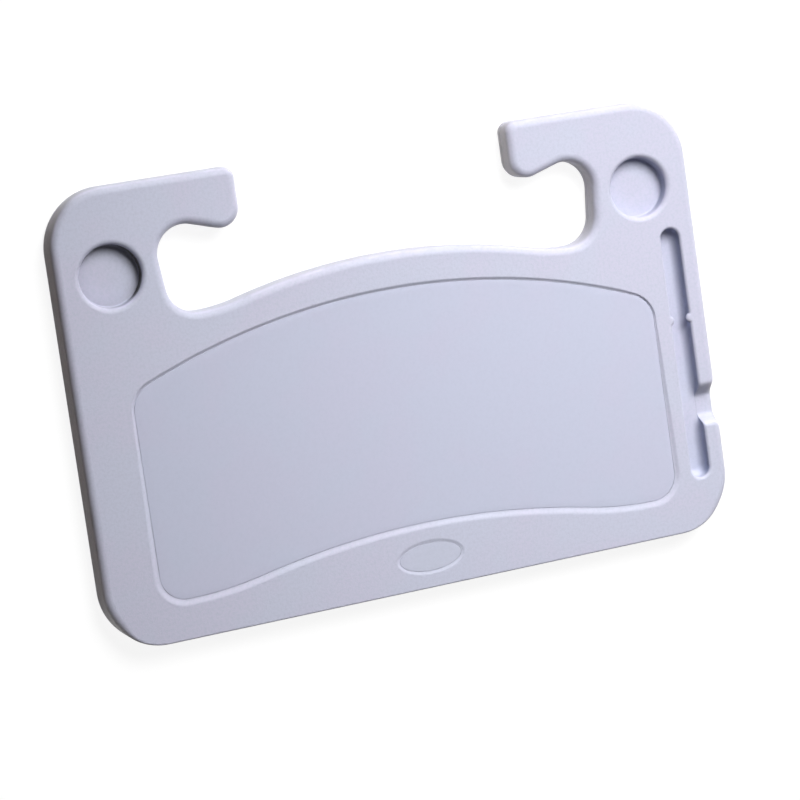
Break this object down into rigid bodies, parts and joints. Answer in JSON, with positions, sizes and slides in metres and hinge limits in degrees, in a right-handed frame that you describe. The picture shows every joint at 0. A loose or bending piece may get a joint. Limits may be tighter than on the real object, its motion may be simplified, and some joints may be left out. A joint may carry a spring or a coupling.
{
  "type": "steering wheel tray",
  "caption": "Flat tray that hangs on a steering wheel by hooks: inlaid writing panel, round cups, a pen trough with a finger notch and a bare oval plate.",
  "frame": {"origin": "bottom centre of the part's box, on the back face that it lies on", "axes": "+Z out of the writing side, +Y from the lower edge towards the hooks, +X to the right of someone who looks at the writing side"},
  "size_m": [0.42, 0.282, 0.018],
  "materials": {
    "textured_grey": "lavender grey ABS with a fine spark-eroded texture",
    "smooth_grey": "smooth satin sheet, a little bluer than the shell",
    "badge_grey": "satin, bare",
    "zinc_steel": "zinc plated screw"
  },
  "bodies": {
    "root": {"front_shell": "textured_grey", "back_shell": "textured_grey", "writing_panel": "smooth_grey", "badge_plate": "badge_grey", "screw_hook_tip_right": "zinc_steel", "screw_hook_tip_left": "zinc_steel", "screw_upper_corner_right": "zinc_steel", "screw_upper_corner_left": "zinc_steel", "screw_shoulder_right": "zinc_steel", "screw_shoulder_left": "zinc_steel", "screw_side_right": "zinc_steel", "screw_side_left": "zinc_steel", "screw_lower_corner_right": "zinc_steel", "screw_lower_corner_left": "zinc_steel", "screw_lower_edge_right": "zinc_steel", "screw_lower_edge_left": "zinc_steel", "screw_arch_right": "zinc_steel", "screw_arch_left": "zinc_steel"}
  },
  "joints": []
}
